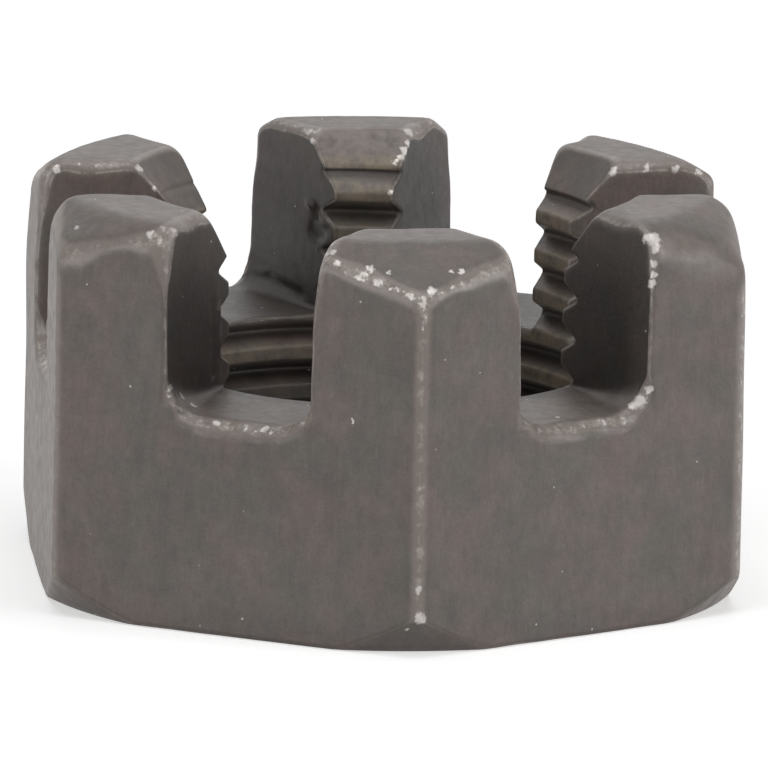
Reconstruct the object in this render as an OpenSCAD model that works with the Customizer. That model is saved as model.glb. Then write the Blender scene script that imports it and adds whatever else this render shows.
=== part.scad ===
// Castle nut: a hexagon nut with a castellated crown for a split pin.
// The origin is the centre of the bearing face, +Z runs up the thread's axis to the
// crown, two corners of the hexagon point along Y and one pair of slots runs along X.

/* [Hexagon] */
// Width across the flats
across_flats = 23.8; // [21:0.1:28]
// Height from the bearing face to the top of the crown
nut_h = 14; // [12:0.1:18]
// Radius of the six upright corners
corner_r = 0.5; // [0.2:0.1:1]

/* [Bearing face] */
// Diameter of the flat bearing face, where the chamfer of the corners starts
bearing_d = 25; // [24:0.1:26.5]
// Angle of that chamfer above the bearing face
base_chamfer_a = 49; // [30:1:60]

/* [Crown] */
// Diameter of the flat top of the crown
crown_d = 22.5; // [20.5:0.1:23.4]
// Angle at which the chamfer of the crown falls away from the flat top
crown_chamfer_a = 32; // [20:1:40]
// Radius that blends the flat top into the chamfer
crown_edge_r = 1.1; // [0.4:0.1:1.8]

/* [Slots] */
// Width of each slot for the split pin
slot_w = 5.3; // [3.5:0.1:7]
// Depth of each slot below the top of the crown
slot_depth = 6.5; // [4.5:0.1:8]
// Radius of the fillets between the walls of a slot and its floor
slot_fillet_r = 1.4; // [0.5:0.1:1.7]
// Width of the bevel round the mouth of each slot, on the flat of the hexagon
slot_bevel = 0.2; // [0.1:0.05:0.5]

/* [Thread] */
// Minor diameter of the thread, to which the bore is drilled
bore_d = 14.6; // [12.5:0.1:15.9]
// Diameter of the countersink in the crown
crown_sink_d = 18; // [16.3:0.1:19.5]
// Full angle of the countersink in the crown
crown_sink_a = 80; // [60:5:120]
// Diameter of the countersink in the bearing face
base_sink_d = 17.1; // [16.3:0.1:19.5]
// Full angle of the countersink in the bearing face
base_sink_a = 90; // [60:5:120]

/* [Hidden] */
sides = 6;
slots = sides / 2;                  // each cut makes two slots, on opposite flats
eps = 0.5;                          // how far a cut runs past the face it opens
inscribed_r = across_flats / 2;
corner_d = across_flats / cos(180 / sides);
slot_floor_z = nut_h - slot_depth;
steel = [0.34, 0.32, 0.30];

// Radial and axial setback of the two points where an arc of radius r is tangent to
// a level face and to a face that falls away from it at angle a.
function setback(r, a) = r * tan(a / 2);

// Flat outline of the hexagon: straight sides with an arc at each corner.
module hexagon_outline() {
    centre_r = (inscribed_r - corner_r) / cos(180 / sides);
    corner_at = [for (k = [0:sides - 1]) centre_r * [cos(90 + k * 360 / sides), sin(90 + k * 360 / sides)]];
    union() {
        polygon([for (k = [0:sides - 1], side = [-1, 1])
            let (a = 90 + k * 360 / sides + side * 180 / sides)
                corner_at[k] + corner_r * [cos(a), sin(a)]]);
        for (p = corner_at) translate(p) circle(r = corner_r, $fn = 48);
    }
}

// Half section of the turned blank: the base chamfer, the crown chamfer and the
// rounded edge between that chamfer and the flat top.
module blank_section() {
    reach = corner_d / 2 + eps;
    crown_r = crown_d / 2;
    inset = setback(crown_edge_r, crown_chamfer_a);
    rise = (reach - bearing_d / 2) * tan(base_chamfer_a);
    fall = (reach - crown_r) * tan(crown_chamfer_a);
    union() {
        polygon([
            [0, 0],
            [bearing_d / 2, 0],
            [reach, rise],
            [reach, nut_h - fall],
            [crown_r + inset * cos(crown_chamfer_a), nut_h - inset * sin(crown_chamfer_a)],
            [crown_r - inset, nut_h],
            [0, nut_h]
        ]);
        translate([crown_r - inset, nut_h - crown_edge_r]) circle(r = crown_edge_r, $fn = 96);
    }
}

// The blank: the hexagon bar trimmed by the turned section.
module blank() {
    intersection() {
        linear_extrude(height = nut_h) hexagon_outline();
        rotate_extrude($fn = 180) blank_section();
    }
}

// Outline of a slot across its length: straight walls, a flat floor and two fillets.
module slot_outline() {
    half = slot_w / 2;
    union() {
        translate([-half, slot_floor_z + slot_fillet_r]) square([slot_w, slot_depth + eps]);
        translate([slot_fillet_r - half, slot_floor_z])
            square([slot_w - 2 * slot_fillet_r, slot_fillet_r + eps]);
        for (side = [-1, 1])
            translate([side * (half - slot_fillet_r), slot_floor_z + slot_fillet_r])
                circle(r = slot_fillet_r, $fn = 64);
    }
}

// The bevel round the mouth of one slot, on the flat that faces +X.
module mouth_bevel() {
    start = inscribed_r - slot_bevel;
    grow = slot_bevel + eps;
    half = slot_w / 2;
    fillet_z = slot_floor_z + slot_fillet_r;
    translate([0, 0, fillet_z]) linear_extrude(height = slot_depth)
        polygon([[start, -half], [start + grow, -half - grow], [start + grow, half + grow], [start, half]]);
    translate([0, half - slot_fillet_r, 0]) rotate([90, 0, 0])
        linear_extrude(height = slot_w - 2 * slot_fillet_r)
            polygon([[start, fillet_z], [start, slot_floor_z],
                     [start + grow, slot_floor_z - grow], [start + grow, fillet_z]]);
    for (side = [-1, 1])
        translate([start, side * (half - slot_fillet_r), fillet_z]) rotate([0, 90, 0])
            cylinder(h = grow, r1 = slot_fillet_r, r2 = slot_fillet_r + grow, $fn = 64);
}

// One cut along X, which opens the slots on two opposite flats.
module slot_cut() {
    length = across_flats + 2 * eps;
    translate([-length / 2, 0, 0]) rotate([90, 0, 90]) linear_extrude(height = length) slot_outline();
    for (turn = [0, 180]) rotate([0, 0, turn]) mouth_bevel();
}

// A conical countersink of diameter d and full angle a, opening upward at height z.
module countersink(d, a, z) {
    slope = tan(90 - a / 2);
    bottom_r = bore_d / 2 - eps;
    depth = (d / 2 - bottom_r) * slope;
    translate([0, 0, z - depth])
        cylinder(h = depth + eps * slope, r1 = bottom_r, r2 = d / 2 + eps, $fn = 180);
}

// The bore with a countersink at each end.
module bore() {
    translate([0, 0, -eps]) cylinder(h = nut_h + 2 * eps, d = bore_d, $fn = 180);
    countersink(crown_sink_d, crown_sink_a, nut_h);
    mirror([0, 0, 1]) countersink(base_sink_d, base_sink_a, 0);
}

module castle_nut() {
    color(steel) difference() {
        blank();
        bore();
        for (k = [0:slots - 1]) rotate([0, 0, k * 180 / slots]) slot_cut();
    }
}

castle_nut();
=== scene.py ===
"""Castle nut in dark phosphated steel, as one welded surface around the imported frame.

Lengths inside the classes are millimetres, and MM turns them into metres. The nut stands
on z = 0 with the thread's axis on +Z. Two corners of the hexagon point along Y, one pair
of slots runs along X, and a prong stands at each corner between two slots.
"""

import logging
import math
from collections.abc import Callable
from dataclasses import dataclass, field
from enum import Enum

import bpy
import numpy as np
from mathutils import Matrix, Vector


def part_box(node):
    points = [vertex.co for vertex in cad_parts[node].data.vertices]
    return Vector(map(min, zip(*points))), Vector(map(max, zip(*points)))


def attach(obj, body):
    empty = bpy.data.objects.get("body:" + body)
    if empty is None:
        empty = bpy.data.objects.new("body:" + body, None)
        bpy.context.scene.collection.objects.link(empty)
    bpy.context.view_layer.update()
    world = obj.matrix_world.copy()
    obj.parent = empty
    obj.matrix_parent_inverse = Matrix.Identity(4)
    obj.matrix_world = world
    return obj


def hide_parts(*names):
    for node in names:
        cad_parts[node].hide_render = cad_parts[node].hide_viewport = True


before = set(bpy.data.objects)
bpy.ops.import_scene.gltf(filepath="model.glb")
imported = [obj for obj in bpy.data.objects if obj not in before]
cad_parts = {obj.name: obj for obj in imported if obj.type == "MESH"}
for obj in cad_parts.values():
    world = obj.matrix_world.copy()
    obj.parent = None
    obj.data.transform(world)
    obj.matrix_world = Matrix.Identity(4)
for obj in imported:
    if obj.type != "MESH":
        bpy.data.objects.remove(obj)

Array = np.ndarray
Band = tuple[float, float]
Colour = tuple[float, float, float, float]
Point = tuple[float, float, float]
Socket = bpy.types.NodeSocket
MM = 0.001
TAU = math.tau
SECTORS = 6
SECTOR = TAU / SECTORS
HALF_ARC = math.pi / 4.0
NODE = "castle_nut"
log = logging.getLogger("castle_nut")


def smooth_max(a: Array, b: Array, width: Array | float) -> Array:
    """The larger of two fields, with the crease between them rounded.

    Where the fields differ by less than the width w, the result is raised by
    (w - |a - b|)^2 / 4w, which turns the sharp edge of a solid into a round one.

    Args:
        a: First signed distance.
        b: Second signed distance.
        width: Difference below which the two blend.

    Returns:
        The blended field.
    """
    gap = np.maximum(width - np.abs(a - b), 0.0)
    return np.maximum(a, b) + gap * gap / (4.0 * np.maximum(width, 1e-9))


def smooth_min(a: Array, b: Array, width: Array | float) -> Array:
    """The smaller of two fields, with a rounded crease."""
    return -smooth_max(-a, -b, width)


def smooth_step(start: Array | float, end: Array | float, value: Array) -> Array:
    """A ramp 3s^2 - 2s^3 that is 0 at the start and 1 at the end, whichever is larger."""
    s = np.clip((value - start) / (end - start), 0.0, 1.0)
    return s * s * (3.0 - 2.0 * s)


def graded(count: int, evenness: float) -> Array:
    """Fractions from 0 to 1 that crowd at both ends.

    Each is e * s + (1 - e) * (1 - cos(pi s)) / 2 for an even s, so a low evenness e puts
    finer cells beside the two edges.

    Args:
        count: Number of cells.
        evenness: Share of the even spacing.

    Returns:
        count + 1 fractions.
    """
    s = np.linspace(0.0, 1.0, count + 1)
    return evenness * s + (1.0 - evenness) * (1.0 - np.cos(np.pi * s)) / 2.0


@dataclass(frozen=True)
class Ripple:
    """Smooth seeded noise: the mean of sine waves that run in random directions."""

    seed: int
    wavelength: float
    waves: int = 14

    def at(self, p: Array) -> Array:
        """Noise of about unit spread at each point.

        Args:
            p: Points, one a row.

        Returns:
            One value a point.
        """
        rng = np.random.default_rng(self.seed)
        heading = rng.normal(size=(self.waves, 3))
        heading /= np.linalg.norm(heading, axis=1, keepdims=True)
        length = self.wavelength * rng.uniform(0.65, 1.5, self.waves)
        phase = rng.uniform(0.0, TAU, self.waves)
        angle = p @ (heading * (TAU / length)[:, None]).T + phase
        return np.sin(angle).mean(axis=1) * math.sqrt(2.0 * self.waves)


@dataclass(frozen=True)
class Blank:
    """The hexagon bar with its chamfered corners below and its chamfered crown above."""

    flat_r: float
    height: float
    bearing_r: float = 12.5
    base_angle: float = math.radians(49.0)
    crown_r: float = 11.25
    crown_angle: float = math.radians(32.0)
    crown_blend: float = 0.17
    base_blend: float = 0.05

    @property
    def half_side(self) -> float:
        """Half the length of one side of the hexagon."""
        return self.flat_r * math.tan(SECTOR / 2.0)

    def crown_z(self, r: Array) -> Array:
        """Height of the top at radius r: the flat, then the cone that falls away."""
        return self.height - np.maximum(r - self.crown_r, 0.0) * math.tan(self.crown_angle)

    def base_z(self, r: Array) -> Array:
        """Height of the underside at radius r: the bearing face, then the chamfer."""
        return np.maximum(r - self.bearing_r, 0.0) * math.tan(self.base_angle)

    def sides(self, r: Array, theta: Array, corner_blend: Array | float) -> Array:
        """Signed distance to the six upright faces.

        The two nearest faces lie at angles d and 60 degrees - |d| from the point, and
        each one's distance is r cos(angle) - R. The two meet in a rounded corner.

        Args:
            r: Distance from the axis.
            theta: Angle about the axis.
            corner_blend: Width of the blend at the corners.

        Returns:
            Signed distance, negative inside.
        """
        near = np.abs((theta + SECTOR / 2.0) % SECTOR - SECTOR / 2.0)
        first = r * np.cos(near) - self.flat_r
        second = r * np.cos(SECTOR - near) - self.flat_r
        return smooth_max(first, second, corner_blend)

    def crown(self, r: Array, z: Array) -> Array:
        """Signed distance to the flat top and its cone, with a round edge between."""
        flat = z - self.height
        cone = (r - self.crown_r) * math.sin(self.crown_angle) + flat * math.cos(self.crown_angle)
        return smooth_max(flat, cone, self.crown_blend)

    def base(self, r: Array, z: Array) -> Array:
        """Signed distance to the bearing face and the cone round it."""
        cone = (r - self.bearing_r) * math.sin(self.base_angle) - z * math.cos(self.base_angle)
        return smooth_max(-z, cone, self.base_blend)


@dataclass(frozen=True)
class Slots:
    """Three cuts across the crown, each with upright walls, a floor and fillets.

    The fillets are small at the bore and grow with the square of the way to the mouth.
    The floors stand a little higher at the bore, those of the slanted cuts climb towards
    the mouths at the back, and the walls lean apart above.
    """

    half: float = 2.65
    floor_z: float = 7.5
    top_z: float = 14.0
    bore_fillet_r: float = 0.12
    mouth_fillet_r: float = 1.4
    bore_r: float = 7.2
    mouth_r: float = 11.9
    bore_rise: float = 0.12
    back_rise: float = 0.45
    flare: float = 0.14
    bore_rise_span: Band = (0.1, 0.7)
    back_rise_from: float = 0.6

    # The form squares the way to the mouth. The grids don't, so that a floor and a wall
    # share a straight border, and their points are moved onto the form afterwards.
    def fillet_at(self, share: Array | float) -> Array | float:
        """Fillet radius at a share of its growth from the bore to the mouth."""
        return self.bore_fillet_r + (self.mouth_fillet_r - self.bore_fillet_r) * share

    def half_at(self, z: Array, fillet_r: Array | float, rise: Array | float = 0.0) -> Array:
        """Half width of a slot at height z: a circle's arc below, upright above."""
        drop = np.clip(self.floor_z + rise + fillet_r - z, 0.0, fillet_r * math.cos(HALF_ARC))
        return self.half - fillet_r + np.sqrt(fillet_r**2 - drop**2)

    def section(self, arc_cells: int, flat_cells: int, fillet_r: float, rise: float
                ) -> tuple[Array, Array]:
        """Offsets and heights of the columns that cross a slot's floor.

        The level part runs from one fillet to the other, and half of each fillet follows
        as a circle's arc.

        Args:
            arc_cells: Number of columns' cells on each arc.
            flat_cells: Number of cells on the level part.
            fillet_r: Radius of the fillets.
            rise: How far the floor stands above its height at the mouth.

        Returns:
            Offsets and heights.
        """
        flat = self.half - fillet_r
        turn = np.linspace(0.0, HALF_ARC, arc_cells + 1)[1:]
        arc_t, arc_z = flat + fillet_r * np.sin(turn), fillet_r * (1.0 - np.cos(turn))
        level = np.linspace(-flat, flat, flat_cells + 1)
        t = np.concatenate([-arc_t[::-1], level, arc_t])
        climb = np.concatenate([arc_z[::-1], np.zeros(flat_cells + 1), arc_z])
        return t, self.floor_z + rise + climb

    def distance(self, x: Array, y: Array, z: Array) -> Array:
        """Signed distance that is positive inside a cut.

        Across each cut the outline is a box whose lower corners are rounded: outside the
        fillet's centres the distance is that to a circle, elsewhere that to the nearer
        wall or floor.

        Args:
            x: Coordinates along X.
            y: Coordinates along Y.
            z: Coordinates along Z.

        Returns:
            The largest of the three cuts' fields.
        """
        cuts = []
        for k in range(SECTORS // 2):
            a = k * SECTOR
            along = x * math.cos(a) + y * math.sin(a)
            t = np.abs(-x * math.sin(a) + y * math.cos(a))
            reach = (np.abs(along) - self.bore_r) / (self.mouth_r - self.bore_r)
            r = self.fillet_at(np.clip(reach, 0.0, 1.0) ** 2)
            rise = self.bore_rise * (1.0 - smooth_step(*self.bore_rise_span, reach))
            if k:
                start = self.bore_r + self.back_rise_from
                rise = rise + self.back_rise * smooth_step(start, self.mouth_r, along)
            lean = self.flare * np.clip((z - self.floor_z) / (self.top_z - self.floor_z), 0.0, 1.0)
            across = t - (self.half + lean - r)
            down = self.floor_z + rise + r - z
            outside = np.hypot(np.maximum(across, 0.0), np.maximum(down, 0.0))
            inside = np.minimum(np.maximum(across, down), 0.0)
            cuts.append(r - outside - inside)
        return np.maximum.reduce(cuts)


@dataclass(frozen=True)
class Bore:
    """The right-hand thread and the countersink at each of its ends."""

    height: float
    crest_r: float = 7.3
    root_r: float = 8.04
    pitch: float = 25.4 / 18.0
    crest_w: float = 0.46
    phase: float = 0.25
    crown_sink_r: float = 9.0
    crown_sink_angle: float = math.radians(40.0)
    base_sink_r: float = 8.55
    base_sink_angle: float = math.radians(45.0)
    flank: float = math.radians(60.0)
    blend: float = 0.05

    def off_crest(self, theta: Array, z: Array) -> Array:
        """Height from the nearest crest's middle, which climbs one pitch a turn."""
        climb = z - self.phase - self.pitch * theta / TAU
        return np.abs((climb / self.pitch + 0.5) % 1.0 - 0.5) * self.pitch

    def thread_r(self, theta: Array, z: Array) -> Array:
        """Radius of the thread: flat crest, 60 degree flanks, narrow root."""
        rise = (self.off_crest(theta, z) - self.crest_w / 2.0) * math.tan(self.flank)
        return np.clip(self.crest_r + rise, self.crest_r, self.root_r)

    def radius(self, theta: Array, z: Array) -> Array:
        """Radius of the bore: the thread, or a countersink's cone where that is wider."""
        upper = self.crown_sink_r - (self.height - z) * math.tan(self.crown_sink_angle)
        lower = self.base_sink_r - z * math.tan(self.base_sink_angle)
        return np.maximum.reduce([self.thread_r(theta, z), upper, lower])

    def thread(self, r: Array, theta: Array, z: Array) -> Array:
        """Signed distance that is positive in the thread's hollow.

        The solid keeps what lies beyond the crest's cylinder and beyond both flanks, and
        all that lies beyond the root's cylinder.

        Args:
            r: Distance from the axis.
            theta: Angle about the axis.
            z: Height.

        Returns:
            The field, with crests and roots slightly rounded.
        """
        crest = self.crest_r - r
        rise = (self.off_crest(theta, z) - self.crest_w / 2.0) * math.tan(self.flank)
        side = (crest + rise) * math.cos(self.flank)
        ridge = smooth_max(crest, side, self.blend)
        return smooth_min(ridge, self.root_r - r, self.blend)

    def sinks(self, r: Array, z: Array) -> Array:
        """Signed distance that is positive in either countersink."""
        a, b = self.crown_sink_angle, self.base_sink_angle
        upper = (self.crown_sink_r - r) * math.cos(a) - (self.height - z) * math.sin(a)
        lower = (self.base_sink_r - r) * math.cos(b) - z * math.sin(b)
        return np.maximum(upper, lower)


@dataclass(frozen=True)
class Scar:
    """A small dent, groove or burr along a line; a negative depth stands out."""

    start: Point
    end: Point
    size: float
    depth: float

    def sunk(self, p: Array) -> Array:
        """How far the surface is pushed in: depth * exp(-(d / size)^2).

        Args:
            p: Points, one a row, where d is the distance to the line.

        Returns:
            One length a point.
        """
        start, run = np.array(self.start), np.array(self.end) - np.array(self.start)
        share = np.clip((p - start) @ run / max(run @ run, 1e-9), 0.0, 1.0)
        far = np.linalg.norm(p - start - share[:, None] * run, axis=1)
        return self.depth * np.exp(-((far / self.size) ** 2))


@dataclass(frozen=True)
class Wear:
    """How far each kind of edge is worn round, and what else has marked the steel.

    The crown's edges, how far its cone is moved out, how pale it is rubbed, the corners
    and how far each prong leans in are given prong by prong, from the one at 30 degrees
    on. The bands of the slot's top and of the rim are depths below the top, the back's
    band lies along Y, and the other bands are heights.
    """

    crown_edges: tuple[float, ...] = (0.26, 0.26, 0.45, 0.55, 0.38, 0.95)
    crown_reach: tuple[float, ...] = (0.15, 0.0, 0.20, 0.25, 0.0, 0.35)
    rubs: tuple[float, ...] = (1.0, 1.0, 1.0, 0.80, 1.2, 0.30)
    corner_edges: tuple[float, ...] = (0.25, 0.25, 0.14, 0.28, 0.42, 0.55)
    mouth: float = 0.06
    slot_top: float = 0.60
    rim: float = 0.22
    thread_edge: float = 0.14
    base_edge: float = 0.08
    floor_edge: float = 0.06
    back_floor_edge: float = 0.30
    lip_low: float = 0.45
    lip_high: float = 0.08
    lip_slant: float = 1.15
    lip_blend: float = 0.07
    lip_band: Band = (7.8, 8.9)
    lip_unevenness: float = 0.10
    slot_top_band: Band = (3.2, 0.9)
    rim_band: Band = (1.3, 0.2)
    foot_band: Band = (8.0, 9.0)
    back_band: Band = (-1.0, 3.0)
    lean_band: Band = (9.5, 13.5)
    crisp_edge: float = 0.02
    crisp_corner: float = 0.1
    unevenness: float = 0.15
    scale_limits: Band = (0.6, 1.4)
    waviness: float = 0.012
    scars: tuple[Scar, ...] = (
        Scar((-3.3, 11.1, 8.2), (-2.0, 8.85, 8.0), 0.22, 0.07),
        Scar((-3.7, 11.7, 8.3), (-3.1, 10.55, 8.5), 0.14, -0.07),
        Scar((-1.6, 8.15, 11.1), (-1.6, 8.1, 11.0), 0.24, 0.30),
        Scar((-1.6, 8.2, 10.45), (-1.5, 8.1, 10.35), 0.28, 0.36),
        Scar((-1.9, 8.55, 11.35), (-1.35, 7.7, 10.75), 0.15, -0.12),
        Scar((-6.35, -5.7, 10.7), (-6.35, -5.7, 8.2), 0.13, 0.10),
        Scar((-6.15, -5.35, 10.4), (-6.15, -5.35, 8.1), 0.12, -0.09),
        Scar((-11.9, -2.65, 9.3), (-11.8, -2.6, 8.55), 0.15, -0.13),
        Scar((-11.85, -2.5, 10.1), (-11.85, -2.45, 9.8), 0.14, -0.10),
        Scar((-11.75, -2.7, 8.9), (-11.7, -2.7, 8.8), 0.16, 0.14),
    )
    crown_shift: float = 0.20
    leans: tuple[float, ...] = (0.0, 0.0, 0.15, 0.0, 0.0, 0.04)
    uneven: Ripple = field(default_factory=lambda: Ripple(11, 2.2))
    waves: Ripple = field(default_factory=lambda: Ripple(23, 6.0))
    dents: Ripple = field(default_factory=lambda: Ripple(41, 0.9))

    def edge_scale(self, p: Array) -> Array:
        """Factor, near 1, by which the wear of an edge varies from place to place."""
        return np.clip(1.0 + self.unevenness * self.uneven.at(p), *self.scale_limits)

    @staticmethod
    def from_prong_to_prong(widths: tuple[float, ...], theta: Array) -> Array:
        """Widths given prong by prong, passing evenly from each to the next."""
        place = (theta / SECTOR - 0.5) % SECTORS
        return np.interp(place, np.arange(SECTORS + 1), widths + widths[:1])

    def lip(self, z: Array) -> Array:
        """Width of the bevel round a slot's mouth: wide at the floor, narrow above."""
        low = 1.0 - smooth_step(*self.lip_band, z)
        return self.lip_high + (self.lip_low - self.lip_high) * low


@dataclass(frozen=True)
class Bands:
    """Where the marks that the finish reads, painted light and painted shade among them, begin
    and end, and how strong some of them are.

    Each pair holds the places, or the distances from a surface, at which a mark is 0
    and at which it is full.
    """

    full_wear: float = 0.09
    rubbed_z: Band = (11.0, 12.0)
    past_root: Band = (0.35, 0.05)
    corner_blend: float = 0.1
    behind_faces: Band = (0.02, -0.16)
    off_wall: Band = (0.25, 0.05)
    foot_drop: float = 0.02
    foot_climb: float = 0.13
    back_foot_drop: float = 1.2
    past_foot: Band = (-0.25, 0.25)
    back_y: Band = (3.0, 5.0)
    deep_z: Band = (6.5, 5.8)
    open_y: Band = (3.6, 3.0)
    open_side: float = 0.8
    in_sink: Band = (-0.06, 0.0)
    far_y: Band = (6.0, 7.0)
    # Strength of the faint painted shade in the nearer countersinks.
    sink_painted_shade: float = 0.46
    fillet_rise: Band = (0.12, 0.35)
    fillet_z: Band = (8.5, 7.5)
    fillet_y: Band = (0.0, -2.0)
    right_floor_x: Band = (3.5, 4.5)
    right_floor_y: Band = (-2.0, -4.0)
    off_thread: Band = (0.2, 0.1)
    past_crest: Band = (0.14, 0.03)
    crest_z: Band = (5.2, 6.0)
    before_root: Band = (0.34, 0.04)
    out_of_sink: Band = (0.0, -0.1)
    left_face_x: Band = (-11.6, -11.8)
    back_wall_y: Band = (1.0, 3.0)
    back_wall_z: Band = (10.8, 8.2)
    back_floor_z: Band = (8.3, 8.1)
    scar_depth: Band = (0.05, 0.22)
    # Strengths of the painted light on the face towards -X, the fillets, the floor at the front
    # right and the crests.
    left_face: float = 0.6
    fillet: float = 0.7
    right_floor: float = 0.75
    crest: float = 0.8
    # Strengths of the painted shade in the roots and at the back walls and floors.
    root: float = 0.62
    back_wall: float = 0.45
    back_floor: float = 0.50


@dataclass
class CastleNut:
    """The nut: its form as one smooth field, and the grids that are drawn onto it."""

    blank: Blank
    slots: Slots
    bore: Bore
    wear: Wear
    bands: Bands = Bands()
    slot_arc_cells: int = 4
    slot_flat_cells: int = 8
    prong_cells: int = 28
    radial_cells: int = 22
    ring_cells: int = 20
    base_cells: int = 14
    sink_cells: int = 5
    chamfer_cells: int = 6
    thread_low: float = 0.5
    edge_gap: float = 0.05
    least_slope: float = 0.2
    longest_step: float = 0.25
    weld_step: float = 1e-4
    weld_offset: float = 0.0000317
    row_offsets: tuple[float, ...] = (
        0.0, 0.11, 0.20, 0.27, 0.42, 0.57, 0.66, 0.7056,
        -0.66, -0.57, -0.42, -0.27, -0.20, -0.11,
    )

    # ---- the form -------------------------------------------------------------

    def form(self, p: Array, crisp: bool = False, scarred: bool = True) -> Array:
        """Signed distance to the nut's surface, negative in the steel.

        The upright faces, the crown, the base, the slots and the bore are joined one
        after another by smooth maxima, whose widths are the wear of each kind of edge.

        Args:
            p: Points, one a row.
            crisp: True gives the same form with all its edges left sharp.
            scarred: False leaves the scars out.

        Returns:
            One value a point.
        """
        x, y, z = p.T
        r, theta = np.hypot(x, y), np.arctan2(y, x)
        w, tall = self.wear, self.blank.height
        scale = w.crisp_edge if crisp else w.edge_scale(p)
        high = smooth_step(*(tall - depth for depth in w.slot_top_band), z)
        rim = smooth_step(*(tall - depth for depth in w.rim_band), z)
        low = 1.0 - smooth_step(*w.foot_band, z)
        back = smooth_step(*w.back_band, y)
        corner = w.from_prong_to_prong(w.corner_edges, theta)
        sides = self.blank.sides(r, theta, corner * (w.crisp_corner if crisp else 1.0))
        lean = w.from_prong_to_prong(w.leans, theta) * smooth_step(*w.lean_band, z)
        sides = sides + w.waviness * w.waves.at(p) + lean
        crown_r = np.hypot(x + w.crown_shift, y) - w.from_prong_to_prong(w.crown_reach, theta)
        crown_edge = w.from_prong_to_prong(w.crown_edges, theta) * scale
        solid = smooth_max(sides, self.blank.crown(crown_r, z), crown_edge)
        solid = smooth_max(solid, self.blank.base(r, z), w.base_edge * scale)
        slots = self.slots.distance(x, y, z)
        solid = smooth_max(solid, slots, (w.mouth + (w.slot_top - w.mouth) * high) * scale)
        if not crisp:
            depth = w.lip(z) * (1.0 + w.lip_unevenness * w.dents.at(p))
            lip = (sides + w.lip_slant * slots + depth) / math.hypot(1.0, w.lip_slant)
            solid = smooth_max(solid, lip, w.lip_blend)
        thread = smooth_max(self.bore.thread(r, theta, z), self.bore.sinks(r, z), self.bore.blend)
        foot = w.floor_edge + (w.back_floor_edge - w.floor_edge) * back
        edge = w.thread_edge + (w.rim - w.thread_edge) * rim + (foot - w.thread_edge) * low
        solid = smooth_max(solid, thread, edge * scale)
        if scarred and not crisp:
            solid = solid + sum(scar.sunk(p) for scar in w.scars)
        return solid

    def slope(self, p: Array) -> Array:
        """Gradient of the form, by central differences along each axis."""
        step = 1e-4
        parts = []
        for axis in range(3):
            shift = np.zeros(3)
            shift[axis] = step
            parts.append((self.form(p + shift) - self.form(p - shift)) / (2.0 * step))
        return np.stack(parts, axis=1)

    def settle(self, p: Array, rounds: int = 6) -> Array:
        """Points moved onto the form by Newton steps -F grad F / |grad F|^2.

        Args:
            p: Points near the surface.
            rounds: Number of steps.

        Returns:
            The moved points.
        """
        for _ in range(rounds):
            g = self.slope(p)
            size = np.maximum((g * g).sum(axis=1), self.least_slope)
            move = (self.form(p) / size)[:, None] * g
            reach = np.linalg.norm(move, axis=1, keepdims=True)
            p = p - move * np.minimum(1.0, self.longest_step / np.maximum(reach, 1e-9))
        return p

    # ---- the grids ------------------------------------------------------------

    def slot_section(self, share: float) -> tuple[Array, Array]:
        """Offsets and heights of a slot's columns at the bore (0) or the mouth (1)."""
        return self.slots.section(self.slot_arc_cells, self.slot_flat_cells,
                                  self.slots.fillet_at(share),
                                  self.slots.bore_rise * (1.0 - share))

    @property
    def prong_shares(self) -> Array:
        """Shares of the way round a prong's bore side, one a column."""
        return graded(self.prong_cells, 0.35)

    @property
    def radial_shares(self) -> Array:
        """Shares of the way from the bore to the outside."""
        return graded(self.radial_cells, 0.3)

    def outline(self, k: int, t: Array) -> Array:
        """Point at offset t along the flat that faces angle 60 k degrees."""
        a = k * SECTOR
        x = self.blank.flat_r * math.cos(a) - t * math.sin(a)
        y = self.blank.flat_r * math.sin(a) + t * math.cos(a)
        return np.stack([x, y], axis=-1)

    def prong_outline(self, k: int, z: Array) -> Array:
        """Points round the outside of prong k, from one slot's mouth to the next.

        The first half of the columns runs along flat k from the slot's wall to the
        corner, and the second half runs back along flat k + 1 from the corner.

        Args:
            k: Number of the prong.
            z: Heights, broadcast against the columns.

        Returns:
            Points in the plane.
        """
        half = self.prong_cells // 2
        share = graded(half, 0.3)
        start = self.slots.half_at(z, self.slots.mouth_fillet_r)
        reach = start + (self.blank.half_side - start) * np.concatenate([share, share[::-1][1:]])
        first = self.outline(k, reach)
        second = self.outline(k + 1, -reach)
        column = np.arange(self.prong_cells + 1)
        return np.where((column <= half)[..., None], first, second)

    def bore_grid(self, rows: Callable[[Array], Array],
                  place: Callable[[Array, Array, Array], tuple[Array, Array, Array]],
                  theta: Array) -> Array:
        """Grid on the wall of the bore, whose rows climb with the thread.

        A row's height depends on its angle and a column's angle on its radius, so both
        are worked out in turn until they agree.

        Args:
            rows: Gives the heights of all rows at given angles.
            place: Gives the columns' angles, and those of the two sides, at a height.
            theta: First guess of the angles.

        Returns:
            Grid of points.
        """
        left = right = theta
        for _ in range(14):
            z = rows(theta)
            theta, left, right = place(z, left, right)
        z = rows(theta)
        r = self.bore.radius(theta, z)
        return np.stack([r * np.cos(theta), r * np.sin(theta), z + 0.0 * r], axis=-1)

    def helix_rows(self, first: int, last: int, low: float, high: Array | float
                   ) -> Callable[[Array], Array]:
        """Rows first to last of the thread's own spacing, held between two heights.

        A row that comes closer to the upper height than the edge gap is moved onto it.

        Args:
            first: Number of the lowest row.
            last: Number of the highest row.
            low: Lower height.
            high: Upper height, or one for each column.

        Returns:
            A function that gives the rows' heights at the columns' angles.
        """
        index = np.arange(first, last + 1)
        per_turn = len(self.row_offsets)
        ordered = np.sort(np.array(self.row_offsets) % self.bore.pitch)
        height = self.bore.phase + self.bore.pitch * (index // per_turn) + ordered[index % per_turn]

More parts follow.
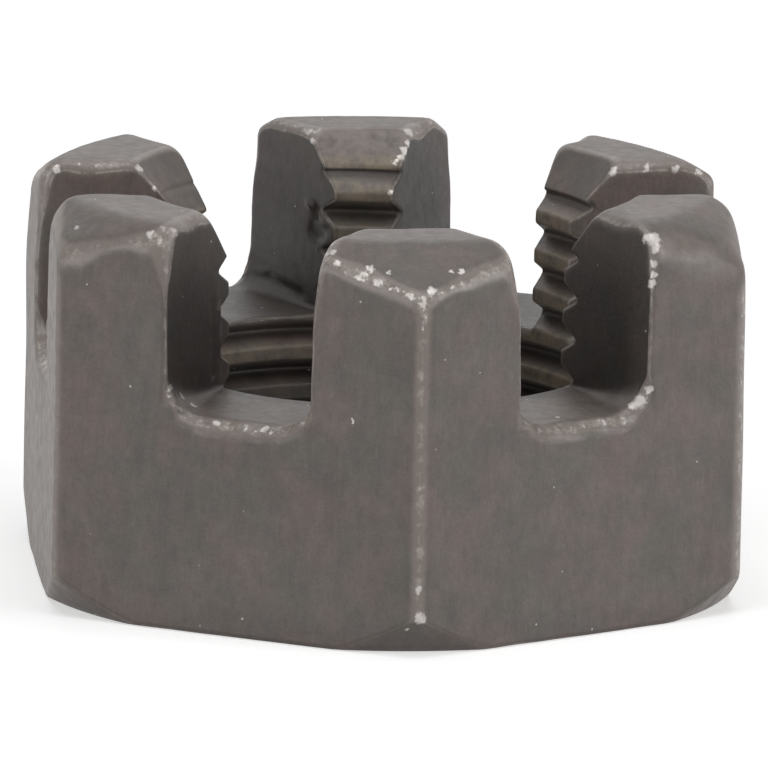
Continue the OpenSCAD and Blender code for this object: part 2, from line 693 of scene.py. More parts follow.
        def rows(theta: Array) -> Array:
            """Heights of the rows at these angles."""
            climb = height[:, None] + self.bore.pitch * theta / TAU
            climb = np.where(high - climb < self.edge_gap, high, climb)
            return np.clip(climb, low, high)
        return rows

    def slot_place(self, k: int) -> Callable[[Array, Array, Array], tuple[Array, Array, Array]]:
        """Angles of the columns below slot k, each of which keeps its offset."""
        t = self.slot_section(0.0)[0]

        def place(z: Array, left: Array, right: Array) -> tuple[Array, Array, Array]:
            """Angles at these heights."""
            theta = k * SECTOR + np.arcsin(t / self.bore.radius(left, z))
            return theta, theta, theta
        return place

    def prong_place(self, k: int) -> Callable[[Array, Array, Array], tuple[Array, Array, Array]]:
        """Angles of the columns of prong k, shared out between its two walls."""
        share = self.prong_shares

        def place(z: Array, left: Array, right: Array) -> tuple[Array, Array, Array]:
            """Angles at these heights, and the angles of the two walls."""
            half = self.slots.half_at(z, self.slots.bore_fillet_r, self.slots.bore_rise)
            left = k * SECTOR + np.arcsin(half / self.bore.radius(left, z))
            right = (k + 1) * SECTOR - np.arcsin(half / self.bore.radius(right, z))
            return left + (right - left) * share, left, right
        return place

    def level_rows(self, heights: Array) -> Callable[[Array], Array]:
        """Rows at fixed heights."""
        def rows(theta: Array) -> Array:
            """The same heights at every angle."""
            return heights[:, None] + 0.0 * theta
        return rows

    def ring_patches(self) -> list[Array]:
        """The closed ring below the slots: bore, countersink, underside and outside."""
        patches = []
        inner_t, inner_z = self.slot_section(0.0)
        outer_t, outer_z = self.slot_section(1.0)
        inner_split, outer_split = inner_z[0], outer_z[0]
        turns = math.ceil(inner_split / self.bore.pitch) + 2
        per_turn = len(self.row_offsets)
        low_share = np.linspace(0.0, 1.0, self.base_cells + 1)[:, None]
        rise = graded(self.ring_cells, 0.4)[:, None]
        for k in range(SECTORS):
            for prong in (False, True):
                columns = self.prong_cells + 1 if prong else len(inner_t)
                top = inner_split if prong else inner_z
                outer_top = outer_split if prong else outer_z
                place = self.prong_place(k) if prong else self.slot_place(k)
                guess = np.full((1, columns), (k + 0.5 * prong) * SECTOR)
                rows = self.helix_rows(-3 * per_turn, turns * per_turn, self.thread_low, top)
                patches.append(self.bore_grid(rows, place, guess))
                levels = self.level_rows(np.linspace(0.0, self.thread_low, self.sink_cells + 1))
                sink = self.bore_grid(levels, place, guess)
                patches.append(sink)
                edge = (self.prong_outline(k, np.full(1, outer_split)) if prong
                        else self.outline(k, outer_t)).reshape(columns, 2)
                far = np.hypot(edge[:, 0], edge[:, 1])
                bottom = self.blank.base_z(far)
                z = bottom + (outer_top - bottom) * rise
                flat = np.broadcast_to(edge, (len(rise), columns, 2))
                patches.append(np.concatenate([flat, z[..., None]], axis=-1))
                inward = np.minimum(far, self.blank.bearing_r) / far
                share = np.linspace(0.0, 1.0, self.chamfer_cells + 1)[:, None]
                reach = 1.0 + (inward - 1.0) * share
                cone = edge * reach[..., None]
                height = self.blank.base_z(far * reach)
                patches.append(np.concatenate([cone, height[..., None]], axis=-1))
                ring = cone[-1] + (sink[0, :, :2] - cone[-1]) * low_share[..., None]
                patches.append(np.concatenate([ring, np.zeros(ring.shape[:2] + (1,))], axis=-1))
        return patches

    def floor_patch(self, k: int) -> Array:
        """The floor of slot k: each column runs straight from the bore to the flat."""
        inner_t, inner_z = self.slot_section(0.0)
        outer_t, outer_z = self.slot_section(1.0)

        def rows(theta: Array) -> Array:
            """The floor's own height at each column."""
            return inner_z[None, :] + 0.0 * theta
        guess = np.full((1, len(inner_t)), k * SECTOR)
        inner = self.bore_grid(rows, self.slot_place(k), guess)[0]
        outer = np.concatenate([self.outline(k, outer_t), outer_z[:, None]], axis=-1)
        share = self.radial_shares[:, None, None]
        return inner + (outer - inner) * share

    def prong_patches(self, k: int) -> list[Array]:
        """Prong k: its thread, its outside, its two walls and its top.

        The bore side and the outside have the same number of rows. A wall joins row to
        row, so its rows lean from the one to the other, and near the top they bend to
        follow the crown. The top joins column to column.

        Args:
            k: Number of the prong.

        Returns:
            Five grids.
        """
        low, high = self.slot_section(0.0)[1][0], self.blank.height
        outer_low = self.slot_section(1.0)[1][0]
        per_turn = len(self.row_offsets)
        bore = self.bore
        spread = math.asin(self.slots.half / bore.root_r)
        first_angle, last_angle = k * SECTOR + spread, (k + 1) * SECTOR - spread
        base = (low - bore.phase - bore.pitch * last_angle / TAU) / bore.pitch
        peak = (high - bore.phase - bore.pitch * first_angle / TAU) / bore.pitch
        first = math.floor(base * per_turn) - 1
        last = math.ceil(peak * per_turn) + 1
        guess = np.full((1, self.prong_cells + 1), (k + 0.5) * SECTOR)
        inner = self.bore_grid(self.helix_rows(first, last, low, high), self.prong_place(k), guess)
        count = inner.shape[0] - 1
        climb = graded(2 * count, 0.5)[count:]
        climb = ((climb - climb[0]) / (climb[-1] - climb[0]))[:, None]
        rim = self.prong_outline(k, np.full(1, high)).reshape(-1, 2)
        edge_z = self.blank.crown_z(np.hypot(rim[:, 0], rim[:, 1]))
        z = outer_low + (edge_z - outer_low) * climb
        outer = np.concatenate([self.prong_outline(k, z), z[..., None]], axis=-1)
        share = self.radial_shares[:, None]
        way = share[..., None]
        top = inner[-1, None, :, :2] * (1.0 - way) + outer[-1, None, :, :2] * way
        top_z = self.blank.crown_z(np.hypot(top[..., 0], top[..., 1]))
        patches = [inner, outer, np.concatenate([top, top_z[..., None]], axis=-1)]
        bend = (np.linspace(0.0, 1.0, count + 1) ** 6)[:, None]
        for column, sector, sign in ((0, k, 1.0), (-1, k + 1, -1.0)):
            a = sector * SECTOR
            ray = np.array([math.cos(a), math.sin(a)])
            across = np.array([-math.sin(a), math.cos(a)]) * sign
            near, away = inner[:, column], outer[:, column]
            start, end = (near[:, :2] @ ray)[:, None], (away[:, :2] @ ray)[:, None]
            u = start * (1.0 - share.T) + end * share.T
            wall_z = near[:, 2:] * (1.0 - share.T) + away[:, 2:] * share.T
            wall_z = wall_z + bend * (top_z[:, column] - wall_z[-1])
            t = self.slots.half_at(wall_z, self.slots.fillet_at(share.T),
                                   self.slots.bore_rise * (1.0 - share.T))
            flat = u[..., None] * ray + t[..., None] * across
            patches.append(np.concatenate([flat, wall_z[..., None]], axis=-1))
        return patches

    def patches(self) -> list[Array]:
        """All the grids, whose shared borders coincide."""
        grids = self.ring_patches()
        for k in range(SECTORS):
            grids.append(self.floor_patch(k))
            grids.extend(self.prong_patches(k))
        return grids

    # ---- the mesh -------------------------------------------------------------

    def weld(self, grids: list[Array]) -> tuple[Array, Array, Array]:
        """Joins the grids where their points coincide and cuts each cell in two.

        Args:
            grids: Grids of points.

        Returns:
            The single points, the triangles that index them, none of them empty, and the
            number of each triangle's grid.
        """
        points = np.concatenate([g.reshape(-1, 3) for g in grids])
        key = np.round((points + self.weld_offset) / self.weld_step).astype(np.int64)
        _, first, same = np.unique(key, axis=0, return_index=True, return_inverse=True)
        same = same.reshape(-1)
        points = points[first]
        cells, owners, start = [], [], 0
        for number, g in enumerate(grids):
            rows, columns = g.shape[:2]
            index = same[start:start + rows * columns].reshape(rows, columns)
            start += rows * columns
            around = [index[:-1, :-1], index[:-1, 1:], index[1:, 1:], index[1:, :-1]]
            cells.append(np.stack(around, axis=-1).reshape(-1, 4))
            owners.append(np.full(2 * len(cells[-1]), number))
        quads = np.concatenate(cells)
        a, b, c, d = (points[quads[:, i]] for i in range(4))
        one_way = np.linalg.norm(a - c, axis=1) <= np.linalg.norm(b - d, axis=1)
        pick = np.where(one_way[:, None], quads[:, [0, 1, 2, 0, 2, 3]], quads[:, [0, 1, 3, 1, 2, 3]])
        triangles = pick.reshape(-1, 3)
        i, j, k = triangles.T
        whole = (i != j) & (j != k) & (k != i)
        return points, triangles[whole], np.concatenate(owners)[whole]

    def face_out(self, points: Array, triangles: Array, owners: Array) -> Array:
        """Triangles turned, grid by grid, so that their normals follow the form's slope.

        Args:
            points: Points.
            triangles: Triangles that index them.
            owners: Number of each triangle's grid.

        Returns:
            The triangles, of which each grid's are all turned or all kept.
        """
        a, b, c = (points[triangles[:, i]] for i in range(3))
        normal = np.cross(b - a, c - a)
        middle = (a + b + c) / 3.0
        outward = np.bincount(owners, weights=(normal * self.slope(middle)).sum(axis=1))
        return np.where((outward < 0.0)[owners][:, None], triangles[:, ::-1], triangles)

    def worn(self, points: Array, theta: Array) -> Array:
        """Square root of how far an edge is rounded off, times the crown's rub factor.

        Args:
            points: Points on the surface.
            theta: Their angles about the axis.

        Returns:
            One value a point, which passes 1 where the factor does.
        """
        bands, wear = self.bands, self.wear
        lost = self.form(points, scarred=False) - self.form(points, crisp=True)
        worn = np.sqrt(np.clip(lost / bands.full_wear, 0.0, 1.0))
        rubbed = wear.from_prong_to_prong(wear.rubs, theta)
        return worn * (1.0 - (1.0 - rubbed) * smooth_step(*bands.rubbed_z, points[:, 2]))

    def above_foot(self, r: Array, y: Array, z: Array) -> Array:
        """1 above the line along the foot of a slot's wall, 0 below it.

        The line climbs evenly outwards along the slot, and drops away at the back.

        Args:
            r: Distance from the axis.
            y: Coordinate along Y.
            z: Height.

        Returns:
            One value a point.
        """
        bands, slots = self.bands, self.slots
        along = np.sqrt(np.maximum(r**2 - slots.half**2, 0.0))
        climb = bands.foot_climb * np.maximum(along - slots.bore_r, 0.0)
        foot = slots.floor_z - bands.foot_drop + climb
        drop = bands.back_foot_drop * smooth_step(*bands.back_y, y)
        return smooth_step(*bands.past_foot, z - foot + drop)

    def marks(self, points: Array) -> dict[str, Array]:
        """Values that the finish reads at each point, 0 where there is no mark.

        "worn" says how far an edge has been rounded off, and can pass 1 where a prong is
        rubbed more than the rest. "inner" is 1 in the bore, and "wall" on the slots'
        upright walls. "sheltered" is painted shade: it darkens those walls above the line
        along their foot, the deep part of the bore and, faintly, the nearer countersinks.
        "pale" is painted light: it lightens the back prong's countersink, the face towards
        -X, the front floors' fillets and the floor at the front right, and on the thread's
        crests it is painted light and partly rub from a bolt. "pit" is painted shade in
        hollows: deep scars, the thread's roots, and the back walls' feet and back floors.

        Args:
            points: Points on the surface.

        Returns:
            One array for each name.
        """
        x, y, z = points.T
        r, theta = np.hypot(x, y), np.arctan2(y, x)
        bands, slots, bore = self.bands, self.slots, self.bore
        sinks = bore.sinks(r, z)
        inner = smooth_step(*(bore.root_r + past for past in bands.past_root), r)
        inside = smooth_step(*bands.behind_faces, self.blank.sides(r, theta, bands.corner_blend))
        above = self.above_foot(r, y, z)
        wall = smooth_step(*bands.off_wall, np.abs(slots.distance(x, y, z))) * above
        slot_floor = inside * (1.0 - above)

        # Painted shade: the slots' walls above their foot, the deep part of the bore and, faintly,
        # the nearer countersinks are darkened where shade falls, the walls of the cuts along X less.
        deep = inner * smooth_step(*bands.deep_z, z)
        shaded = 1.0 - bands.open_side * smooth_step(*bands.open_y, np.abs(y))
        sink = smooth_step(*bands.in_sink, sinks) * (z > slots.floor_z)
        far_side = smooth_step(*bands.far_y, y)
        painted_shade = np.maximum.reduce([inside * wall * shaded, deep,
                                       bands.sink_painted_shade * sink * (1.0 - far_side)])

        cut = inner * smooth_step(*bands.off_thread, np.abs(bore.thread(r, theta, z)))
        crest = cut * smooth_step(*bands.past_crest, r - bore.crest_r)
        crest = crest * smooth_step(*bands.crest_z, z)
        fillet = slot_floor * smooth_step(*bands.fillet_rise, z - slots.floor_z)
        fillet = fillet * smooth_step(*bands.fillet_z, z) * smooth_step(*bands.fillet_y, y)
        right_floor = slot_floor * smooth_step(*bands.right_floor_x, x)
        right_floor = right_floor * smooth_step(*bands.right_floor_y, y)
        # Painted light: the back prong's countersink, the front floors' fillets and the floor at the
        # front right are lightened where light falls on them, and the face towards -X where it
        # reflects the pale surroundings; on the thread's crests it is painted light and partly rub
        # from a bolt.
        painted_light_and_rub = np.maximum.reduce([
            sink * far_side,
            bands.left_face * smooth_step(*bands.left_face_x, x),
            bands.fillet * (fillet * (1.0 - inner)),
            bands.right_floor * right_floor * (1.0 - inner),
            bands.crest * crest,
        ])

        root = cut * smooth_step(*bands.before_root, bore.root_r - r)
        root = root * smooth_step(*bands.out_of_sink, sinks)
        behind = wall * inside
        back_wall = behind * smooth_step(*bands.back_wall_y, y) * smooth_step(*bands.back_wall_z, z)
        back_floor = behind * smooth_step(*bands.back_y, y) * smooth_step(*bands.back_floor_z, z)
        sunk = sum(scar.sunk(points) for scar in self.wear.scars)
        # Painted shade in hollows: deep scars, the thread's roots, the back walls' feet and the back
        # floors are darkened where shade gathers.
        painted_hollow_shade = np.maximum.reduce([
            smooth_step(*bands.scar_depth, sunk), bands.root * root,
            bands.back_wall * back_wall, bands.back_floor * back_floor,
        ])
        return {"worn": self.worn(points, theta), "inner": inner, "wall": wall,
                "painted_shade": painted_shade, "pale": painted_light_and_rub, "painted_hollow_shade": painted_hollow_shade}

    def build(self) -> bpy.types.Object:
        """The finished mesh object, with its worn and inner places marked.

        Returns:
            The nut.
        """
        points, triangles, owners = self.weld(self.patches())
        triangles = self.face_out(points, triangles, owners)
        points = self.settle(points)
        mesh = bpy.data.meshes.new("castle_nut_steel")
        mesh.vertices.add(len(points))
        mesh.vertices.foreach_set("co", (points * MM).astype(np.float32).ravel())
        mesh.loops.add(triangles.size)
        mesh.loops.foreach_set("vertex_index", triangles.ravel().astype(np.int32))
        mesh.polygons.add(len(triangles))
        mesh.polygons.foreach_set("loop_start", np.arange(0, triangles.size, 3, dtype=np.int32))
        mesh.update(calc_edges=True)
        mesh.validate()
        normals = self.slope(points)
        normals /= np.linalg.norm(normals, axis=1, keepdims=True)
        mesh.polygons.foreach_set("use_smooth", np.ones(len(triangles), dtype=bool))
        mesh.normals_split_custom_set_from_vertices(normals.tolist())
        for name, values in self.marks(points).items():
            layer = mesh.attributes.new(name, "FLOAT", "POINT")
            layer.data.foreach_set("value", values.astype(np.float32))
        nut = bpy.data.objects.new("castle_nut_steel", mesh)
        bpy.context.scene.collection.objects.link(nut)
        return nut


class Nodes:
    """Short ways to add and join the nodes of one material or of the world."""

    def __init__(self, tree: bpy.types.NodeTree) -> None:
        """Clears the tree that the nodes go into."""
        self.tree = tree
        self.tree.nodes.clear()

    def add(self, kind: str, inputs: dict | None = None, **settings: object) -> bpy.types.Node:
        """Adds a node, sets its properties and fills or links its inputs.

        Args:
            kind: Type name of the node.
            inputs: Values or sockets by input name or number.
            **settings: Properties of the node.

        Returns:
            The node.
        """
        node = self.tree.nodes.new(kind)
        for key, value in settings.items():
            setattr(node, key, value)
        for key, value in (inputs or {}).items():
            if isinstance(value, Socket):
                self.tree.links.new(value, node.inputs[key])
            else:
                node.inputs[key].default_value = value
        return node

    def math(self, operation: str, a: Socket | float, b: Socket | float,
             clamp: bool = False) -> Socket:
        """Result of one sum on two values or sockets."""
        settings = {"operation": operation, "use_clamp": clamp}
        return self.add("ShaderNodeMath", {0: a, 1: b}, **settings).outputs[0]

    def times(self, a: Socket | float, b: Socket | float) -> Socket:
        """Product of two values."""
        return self.math("MULTIPLY", a, b)

    def plus(self, a: Socket | float, b: Socket | float) -> Socket:
        """Sum of two values."""
        return self.math("ADD", a, b)

    def minus(self, a: Socket | float, b: Socket | float) -> Socket:
        """First value less the second."""
        return self.math("SUBTRACT", a, b)

    def most(self, a: Socket | float, b: Socket | float) -> Socket:
        """Larger of two values."""
        return self.math("MAXIMUM", a, b)

    def span(self, value: Socket, low: float, high: float, start: float, end: float,
             **settings: object) -> Socket:
        """Value mapped from the range low to high onto the range start to end."""
        inputs = {0: value, 1: low, 2: high, 3: start, 4: end}
        return self.add("ShaderNodeMapRange", inputs, **settings).outputs[0]

    def ramp(self, value: Socket, low: float, high: float, start: float = 0.0) -> Socket:
        """Value mapped onto the range from start to 1, with soft ends."""
        return self.span(value, low, high, start, 1.0, interpolation_type="SMOOTHSTEP")

    def noise(self, vector: Socket, scale: float, detail: float = 2.0, roughness: float = 0.5,
              output: str | int = 0) -> Socket:
        """Noise between 0 and 1, as a value or as a colour."""
        inputs = {"Vector": vector, "Scale": scale, "Detail": detail, "Roughness": roughness}
        return self.add("ShaderNodeTexNoise", inputs).outputs[output]

    def shade(self, value: Socket, swing: float) -> Socket:
        """Factor between 1 - swing and 1 + swing that follows a noise."""
        return self.span(value, 0.25, 0.75, 1.0 - swing, 1.0 + swing)

    def blend(self, factor: Socket, a: Socket | Colour, b: Socket | Colour) -> Socket:
        """Colour between a and b."""
        return self.add("ShaderNodeMix", {0: factor, 6: a, 7: b}, data_type="RGBA").outputs[2]

    def vector(self, operation: str, inputs: dict, output: str | int = 0) -> Socket:
        """Result of one operation on vectors or colours."""
        return self.add("ShaderNodeVectorMath", inputs, operation=operation).outputs[output]

    def seen(self) -> Socket:
        """1 for the camera's rays and for reflections, 0 for the light on the object."""
        path = self.add("ShaderNodeLightPath")
        return self.most(path.outputs["Is Camera Ray"], path.outputs["Is Glossy Ray"])


def new_material(name: str) -> tuple[bpy.types.Material, Nodes]:
    """Makes an empty node material.

    Args:
        name: Name of the material.

    Returns:
        The material and its nodes.
    """
    material = bpy.data.materials.new(name)
    material.use_nodes = True
    return material, Nodes(material.node_tree)


@dataclass(frozen=True)
class Grain:
    """One noise that shades the finish, in cells a millimetre; upright grain is drawn out."""

    scale: float
    detail: float
    roughness: float
    swing: float
    upright: bool = False


@dataclass(frozen=True)
class PhosphatedSteel:
    """Dark satin phosphate on steel: mottled, specked, and rubbed pale where worn, with painted
    shade in its recesses and hollows and painted light on some faces.

    The spots are places in millimetres, each with its radius, where the steel has been
    knocked bright.
    """

    warm: Colour = (0.118, 0.0890, 0.0800, 1.0)
    cool: Colour = (0.092, 0.0810, 0.0700, 1.0)
    # rubbed (outside the bore) and brassy (inside it) colour the rub of worn edges and also the
    # painted light of the pale mark.
    rubbed: Colour = (0.200, 0.168, 0.150, 1.0)
    polished: Colour = (0.360, 0.325, 0.298, 1.0)
    brassy_rub_and_painted_light: Colour = (0.215, 0.172, 0.122, 1.0)
    bare: Colour = (0.60, 0.57, 0.54, 1.0)
    gold: Colour = (0.128, 0.098, 0.070, 1.0)
    speck: Colour = (0.50, 0.48, 0.46, 1.0)
    # Near black of the painted shade in hollows.
    hollow_shade_dark: Colour = (0.014, 0.012, 0.010, 1.0)
    # Level of the painted shade on the walls, deep in the bore and in the nearer countersinks.
    inner_shade: float = 0.53
    inner_rub: float = 0.7
    foot_shade: float = 0.86
    gold_strength: float = 0.4
    # Strength of the painted light of the pale mark.
    painted_light_and_rub_strength: float = 0.87
    polished_strength: float = 0.75
    bare_strength: float = 0.80
    bare_metal: float = 0.5
    hollow_shade_strength: float = 0.85
    roughness: float = 0.50
    rubbed_roughness: float = 0.40
    bump_strength: float = 0.42
    bump_depth: float = 0.00004
    spot_warp: float = 0.38
    shades: tuple[Grain, ...] = (
        Grain(0.9, 6.0, 0.68, 0.24), Grain(3.2, 4.0, 0.62, 0.13, upright=True),
        Grain(9.0, 2.0, 0.6, 0.10, upright=True), Grain(15.0, 2.0, 0.6, 0.11),
    )
    spots: tuple[tuple[Point, float], ...] = (
        # near left prong: the crown's edge beside the slot
        ((-11.1, -5.9, 13.3), 0.24), ((-8.8, -8.2, 13.6), 0.30), ((-8.6, -8.3, 13.4), 0.36),
        ((-8.4, -8.1, 13.7), 0.28), ((-8.1, -8.1, 13.6), 0.34),
        # far left prong: the rim of its wall
        ((-11.2, 2.9, 13.7), 0.30), ((-8.3, 2.9, 13.7), 0.30), ((-7.8, 2.8, 13.0), 0.20),
        # front prong: both of the crown's edges and their corner
        ((-2.9, -11.4, 13.6), 0.22), ((-2.8, -11.9, 13.4), 0.24), ((-1.7, -12.3, 13.2), 0.30),
        ((-1.1, -12.6, 13.2), 0.18), ((0.3, -13.3, 12.7), 0.32), ((1.0, -12.5, 13.2), 0.18),
        ((1.4, -12.5, 13.2), 0.26),
        # near right prong: a knock at the slot's top corner and down its edge
        ((8.4, -8.5, 13.5), 0.52), ((8.1, -8.4, 13.5), 0.28), ((8.4, -8.7, 13.2), 0.28),
        ((8.4, -8.7, 12.7), 0.22), ((8.4, -8.8, 12.3), 0.22), ((8.3, -8.8, 12.0), 0.28),
        # far right prong: the rim of its wall
        ((8.3, 2.9, 13.6), 0.30), ((9.5, 2.9, 13.7), 0.24), ((10.5, 2.8, 13.7), 0.28),
        ((11.3, 2.9, 13.6), 0.28),
        # back prong: the countersink's edges
        ((1.7, 8.9, 13.8), 0.34), ((1.7, 8.5, 13.5), 0.24), ((1.5, 8.3, 13.3), 0.30),
        ((1.4, 8.1, 13.1), 0.30), ((1.2, 8.0, 13.0), 0.26), ((-1.8, 9.0, 13.8), 0.22),
        ((-1.7, 8.6, 13.6), 0.22), ((1.0, 7.3, 12.0), 0.20),
        # lips of the two front slots
        ((-8.1, -8.8, 8.4), 0.24), ((-7.6, -8.2, 8.0), 0.28), ((-7.2, -8.0, 7.7), 0.32),
        ((-6.6, -9.6, 7.3), 0.26), ((-5.0, -10.5, 7.3), 0.28), ((8.0, -8.8, 7.9), 0.46),
        ((7.7, -8.8, 7.8), 0.28), ((8.3, -8.8, 8.3), 0.28), ((5.1, -9.5, 7.5), 0.20),
        ((6.7, -9.6, 7.3), 0.20),
        # faces
        ((0.1, -13.6, 1.4), 0.36), ((0.0, -13.6, 2.4), 0.26), ((-0.3, -13.4, 0.9), 0.24),
        ((-2.2, -12.4, 8.0), 0.14),
    )

    def ground(self, n: Nodes, mm: Socket, tall: Socket, marks: dict[str, Socket],
               torn_edge: Socket) -> Socket:
        """The finish before wear: two mottled tones, with painted shade on the slots' walls, deep in
        the bore and in the nearer countersinks, darker towards the bottom, gold in the bore.

        Args:
            n: The material's nodes.
            mm: Object coordinates in millimetres.
            tall: The same, drawn out upright.
            marks: The nut's marks by name.
            torn_edge: 1 where an edge is worn through.

        Returns:
            The colour.
        """
        # Painted shade: where the shade mark is full the colour falls to inner_shade, and it grows
        # darker towards the bottom.
        whole = n.minus(1.0, n.times(torn_edge, marks["wall"]))
        painted_shade_amount = n.times(n.ramp(marks["painted_shade"], 0.30, 0.62), whole)
        colour = n.blend(n.ramp(n.noise(mm, 0.5, 5.0, 0.62), 0.34, 0.66), self.warm, self.cool)
        height = n.add("ShaderNodeSeparateXYZ", {"Vector": mm}).outputs["Z"]
        level = n.times(n.span(painted_shade_amount, 0.0, 1.0, 1.0, self.inner_shade),
                        n.ramp(height, 0.2, 1.3, self.foot_shade))
        for grain in self.shades:
            where = tall if grain.upright else mm
            noise = n.noise(where, grain.scale, grain.detail, grain.roughness)
            level = n.times(level, n.shade(noise, grain.swing))
        colour = n.vector("SCALE", {0: colour, "Scale": level})
        cloudy = n.ramp(n.noise(mm, 0.9, 3.0), 0.5, 0.72)
        tint = n.times(n.minus(marks["inner"], marks["painted_hollow_shade"]), cloudy)
        tint = n.math("MULTIPLY", tint, self.gold_strength, clamp=True)
        return n.blend(tint, colour, self.gold)

    def material(self) -> bpy.types.Material:
        """Builds the material, laying the wear, the painted light, the knocks and the painted shade
        in hollows over the ground.

        Returns:
            A procedural material on Object coordinates and the nut's own attributes.
        """
        material, n = new_material("phosphated_steel")
        place = n.add("ShaderNodeTexCoord").outputs["Object"]
        mm, tall = (n.add("ShaderNodeMapping", {"Vector": place, "Scale": scale}).outputs[0]
                    for scale in ((1000.0, 1000.0, 1000.0), (1000.0, 1000.0, 300.0)))
        marks = {name: n.add("ShaderNodeAttribute", attribute_name=name).outputs["Fac"]
                 for name in ("worn", "inner", "wall", "painted_shade", "pale", "painted_hollow_shade")}
        worn, inner = marks["worn"], marks["inner"]
        patchy, fine = n.noise(mm, 1.7, 5.0, 0.68), n.noise(mm, 3.8, 5.0, 0.70)
        ragged = n.plus(worn, n.times(n.minus(fine, 0.5), 0.3))
        torn_edge = n.ramp(ragged, 0.36, 0.46)
        colour = self.ground(n, mm, tall, marks, torn_edge)

        # Painted light of the pale mark, mixed here with the rub of worn edges.
        painted_light_and_rub_patches = n.times(marks["pale"], n.ramp(patchy, 0.28, 0.62))
        rub = n.ramp(n.times(worn, n.plus(patchy, 0.35)), 0.14, 0.62)
        rub = n.times(rub, n.minus(1.0, n.times(inner, self.inner_rub)))
        rub = n.most(n.times(painted_light_and_rub_patches, self.painted_light_and_rub_strength), rub)
        colour = n.blend(rub, colour, n.blend(inner, self.rubbed, self.brassy_rub_and_painted_light))

        gleam = n.ramp(n.times(worn, n.times(fine, patchy)), 0.19, 0.33)
        fresh_edge = n.times(torn_edge, n.minus(1.0, n.ramp(ragged, 0.46, 0.66)))
        brink = n.times(fresh_edge, n.times(marks["wall"], n.ramp(patchy, 0.36, 0.60)))
        gleam = n.times(n.most(gleam, brink), self.polished_strength)
        colour = n.blend(gleam, colour, self.polished)

        chip = n.ramp(n.times(worn, fine), 0.57, 0.66)
        knocked = n.times(self.near_spots(n, mm), n.plus(fine, 0.35))
        bright = n.most(chip, n.ramp(knocked, 0.30, 0.80))
        colour = n.blend(n.times(bright, self.bare_strength), colour, self.bare)
        # Painted shade in hollows, blended towards near black.
        colour = n.blend(n.times(marks["painted_hollow_shade"], self.hollow_shade_strength), colour, self.hollow_shade_dark)
        dots = n.add("ShaderNodeTexVoronoi", {"Vector": mm, "Scale": 0.95}).outputs["Distance"]
        colour = n.blend(n.ramp(n.minus(0.08, dots), 0.028, 0.052), colour, self.speck)

        rough = n.span(rub, 0.0, 1.0, self.roughness, self.rubbed_roughness)
        rough = n.times(rough, n.shade(n.noise(mm, 2.2, 4.0, 0.6), 0.16))
        relief = n.plus(n.noise(mm, 4.0, 6.0, 0.66), n.times(n.noise(mm, 22.0, 2.0), 0.35))
        bump = n.add("ShaderNodeBump", {"Height": relief, "Strength": self.bump_strength,
                                        "Distance": self.bump_depth}).outputs[0]
        shader = n.add("ShaderNodeBsdfPrincipled", {
            "Base Color": colour, "Roughness": rough, "Normal": bump,
            "Metallic": n.times(bright, self.bare_metal)})
        n.add("ShaderNodeOutputMaterial", {"Surface": shader.outputs[0]})
        return material

    def near_spots(self, n: Nodes, mm: Socket) -> Socket:
        """1 at the middle of a spot, falling to 0 at its radius, with a ragged outline.

        Args:
            n: The material's nodes.
            mm: Object coordinates in millimetres.

        Returns:
            The largest value among the spots.
        """
        noise = n.noise(mm, 4.5, 3.0, output="Color")
        stray = n.vector("SUBTRACT", {0: noise, 1: (0.5, 0.5, 0.5)})
        moved = n.vector("ADD", {0: n.vector("SCALE", {0: stray, "Scale": self.spot_warp}), 1: mm})
        best = None
        for middle, radius in self.spots:
            far = n.vector("DISTANCE", {0: moved, 1: middle}, "Value")
            near = n.ramp(n.minus(radius, far), 0.0, 0.8 * radius)
            best = near if best is None else n.most(best, near)
        return best


@dataclass(frozen=True)
class Floor:
    """Plain pale floor that shows white and keeps the nut's shadow."""

    half: float = 1500.0
    drop: float = 0.02
    colour: Colour = (0.86, 0.86, 0.86, 1.0)
    lift: float = 0.50

    def build(self) -> bpy.types.Object:
        """A square just under the bearing face.

        Returns:
            The floor.
        """
        material, n = new_material("pale_floor")
        glow = n.times(n.seen(), self.lift)
        shader = n.add("ShaderNodeBsdfPrincipled", {
            "Base Color": self.colour, "Roughness": 0.9, "Specular IOR Level": 0.0,
            "Emission Color": (1.0, 1.0, 1.0, 1.0), "Emission Strength": glow})
        n.add("ShaderNodeOutputMaterial", {"Surface": shader.outputs[0]})
        corner = np.array([[-1.0, -1.0], [1.0, -1.0], [1.0, 1.0], [-1.0, 1.0]]) * self.half * MM
        points = np.concatenate([corner, np.full((4, 1), -self.drop * MM)], axis=1)
        mesh = bpy.data.meshes.new("pale_floor")
        mesh.from_pydata(points.tolist(), [], [(0, 1, 2, 3)])
        mesh.materials.append(material)
        floor = bpy.data.objects.new("pale_floor", mesh)
        bpy.context.scene.collection.objects.link(floor)
        return floor


class Side(Enum):
    """Where a softbox stands about the nut: its azimuth and elevation in degrees."""

    LEFT = (-55.0, 12.0)
    RIGHT = (65.0, 13.0)
    TOP = (0.0, 80.0)
    BACK = (175.0, 40.0)


@dataclass(frozen=True)
class Softbox:
    """A square area lamp that faces the nut."""

    side: Side
    power: float
    width: float = 250.0
    distance: float = 620.0

    def build(self, aim: Vector) -> bpy.types.Object:
        """Adds the lamp.

        Args:
            aim: Point that it faces, in metres.

        Returns:
            The lamp's object.
        """
        azimuth, elevation = (math.radians(v) for v in self.side.value)
        away = Vector((math.sin(azimuth) * math.cos(elevation),
                       -math.cos(azimuth) * math.cos(elevation), math.sin(elevation)))
        data = bpy.data.lights.new(f"softbox_{self.side.name.lower()}", "AREA")
        data.shape, data.size, data.energy = "SQUARE", self.width * MM, self.power
        lamp = bpy.data.objects.new(data.name, data)
        lamp.location = aim + away * self.distance * MM
        lamp.rotation_euler = away.to_track_quat("Z", "Y").to_euler()
        bpy.context.scene.collection.objects.link(lamp)
        return lamp


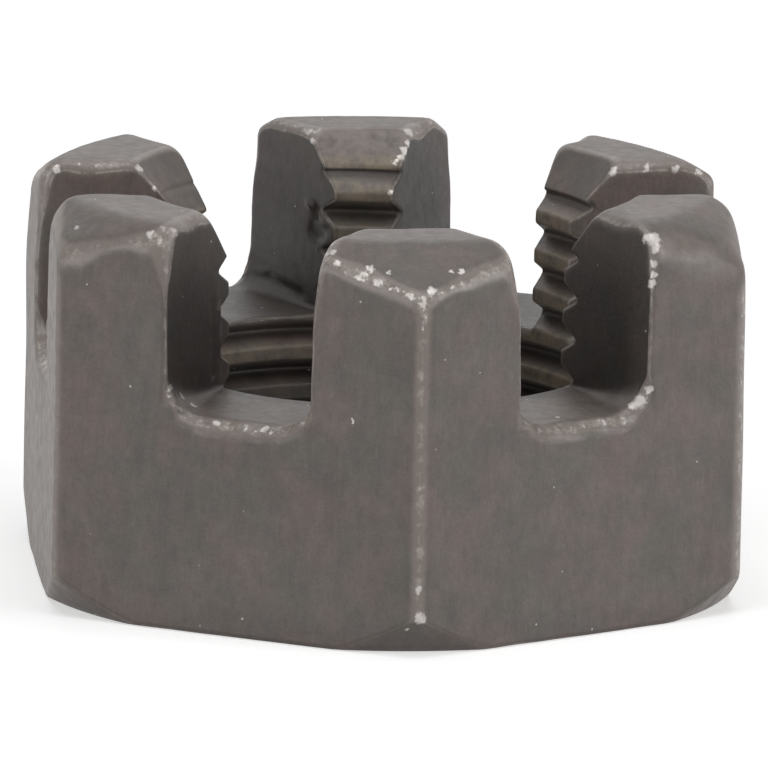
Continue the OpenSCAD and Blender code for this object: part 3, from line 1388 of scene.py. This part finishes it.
@dataclass(frozen=True)
class Surroundings:
    """Soft pale light from all round, seen white by the camera and in reflections."""

    fill: float = 0.02

    def build(self) -> None:
        """Sets up the world."""
        world = bpy.data.worlds.new("pale_surroundings")
        world.use_nodes = True
        n = Nodes(world.node_tree)
        strength = n.span(n.seen(), 0.0, 1.0, self.fill, 1.0)
        back = n.add("ShaderNodeBackground", {"Color": (1.0, 1.0, 1.0, 1.0), "Strength": strength})
        n.add("ShaderNodeOutputWorld", {"Surface": back.outputs[0]})
        bpy.context.scene.world = world


@dataclass(frozen=True)
class Viewpoint:
    """A long lens that looks down on the nut from a little way off to one side."""

    azimuth: float = -5.851
    elevation: float = 12.0
    roll: float = 1.109
    distance: float = 484.0
    target: Point = (0.1005, 0.0, 6.640)
    lens: float = 652.275
    sensor: float = 36.0

    def build(self) -> bpy.types.Object:
        """Adds the camera and makes it the scene's own.

        Returns:
            The camera.
        """
        a, e, roll = (math.radians(v) for v in (self.azimuth, self.elevation, self.roll))
        turn = Matrix.Rotation(a, 3, "Z")
        back = turn @ Vector((0.0, -math.cos(e), math.sin(e)))
        right = turn @ Vector((1.0, 0.0, 0.0))
        up = turn @ Vector((0.0, math.sin(e), math.cos(e)))
        side = right * math.cos(roll) + up * math.sin(roll)
        over = up * math.cos(roll) - right * math.sin(roll)
        data = bpy.data.cameras.new("viewpoint")
        data.lens, data.sensor_width, data.clip_start = self.lens, self.sensor, 0.01
        camera = bpy.data.objects.new("viewpoint", data)
        spot = turn @ Vector(self.target) + back * self.distance
        rows = [[side[i], over[i], back[i], spot[i] * MM] for i in range(3)]
        camera.matrix_world = Matrix(rows + [[0.0, 0.0, 0.0, 1.0]])
        bpy.context.scene.collection.objects.link(camera)
        bpy.context.scene.camera = camera
        return camera


def main() -> None:
    """Builds the nut, its floor, light and camera, and reports each."""
    logging.basicConfig(level=logging.INFO, format="%(name)s: %(message)s")
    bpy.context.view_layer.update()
    low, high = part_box(NODE)
    width, height = (high.x - low.x) / MM, (high.z - low.z) / MM
    nut = CastleNut(Blank(width / 2.0, height), Slots(), Bore(height), Wear())
    piece = nut.build()
    piece.data.materials.append(PhosphatedSteel().material())
    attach(piece, "root")
    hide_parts(NODE)
    log.info("%s: %d triangles", piece.name, len(piece.data.polygons))
    floor = Floor().build()
    log.info("%s", floor.name)
    Surroundings().build()
    aim = Vector((0.0, 0.0, height * MM / 2.0))
    for box in (Softbox(Side.LEFT, 1.42), Softbox(Side.RIGHT, 1.86),
                Softbox(Side.TOP, 1.78, width=500.0), Softbox(Side.BACK, 0.50, width=400.0)):
        log.info("%s", box.build(aim).name)
    log.info("%s", Viewpoint().build().name)
    bpy.context.scene.view_settings.view_transform = "Standard"


if __name__ == "__main__":
    main()
